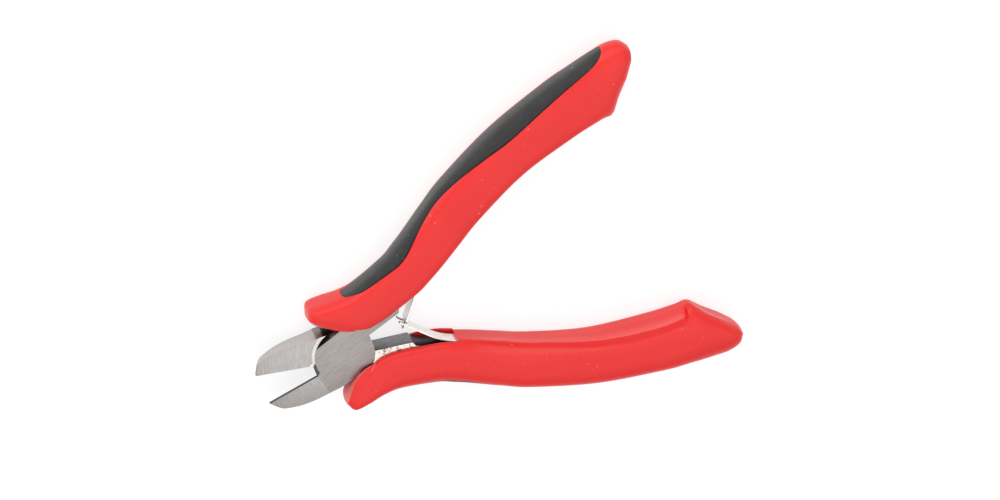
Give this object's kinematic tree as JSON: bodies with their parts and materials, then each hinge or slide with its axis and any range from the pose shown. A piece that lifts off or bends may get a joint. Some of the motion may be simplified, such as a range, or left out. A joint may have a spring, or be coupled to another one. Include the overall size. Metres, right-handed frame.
{
  "type": "diagonal cutter",
  "caption": "Small sprung diagonal cutter: lap-jointed steel jaws, crossed leaf springs and red moulded grips with grey soft inlays, stored half open.",
  "frame": {"origin": "on the pivot axis, at the flat back face of the joint", "axes": "+X from the pivot along the tool's midline towards the handles, +Y towards the upper handle, +Z along the pivot out of the front face"},
  "size_m": [0.1185, 0.0932, 0.0112],
  "materials": {
    "front_half": "ground faces, satin",
    "back_half": "ground faces, satin",
    "pivot_rivet": "ground flush, satin",
    "leaf_spring_upper": "bright plated strip",
    "leaf_spring_lower": "bright plated strip",
    "grip_body_upper": "satin moulded red",
    "grip_body_lower": "satin moulded red",
    "soft_inlay_upper": "matt soft grey",
    "soft_inlay_lower": "matt soft grey"
  },
  "bodies": {
    "lower_handle": {"back_half": "back_half", "pivot_rivet": "pivot_rivet", "leaf_spring_lower": "leaf_spring_lower", "grip_body_lower": "grip_body_lower", "soft_inlay_lower": "soft_inlay_lower"},
    "upper_handle": {"front_half": "front_half", "leaf_spring_upper": "leaf_spring_upper", "grip_body_upper": "grip_body_upper", "soft_inlay_upper": "soft_inlay_upper"}
  },
  "joints": [
    {"name": "jaw_pivot", "type": "hinge", "parent": "lower_handle", "child": "upper_handle", "pos_m": [0, 0, 0.0032], "axis": [0, 0, -1], "range_deg": [0, 22], "stiffness_Nm_per_rad": 1.5, "deforming": ["leaf_spring_upper", "leaf_spring_lower"]}
  ]
}
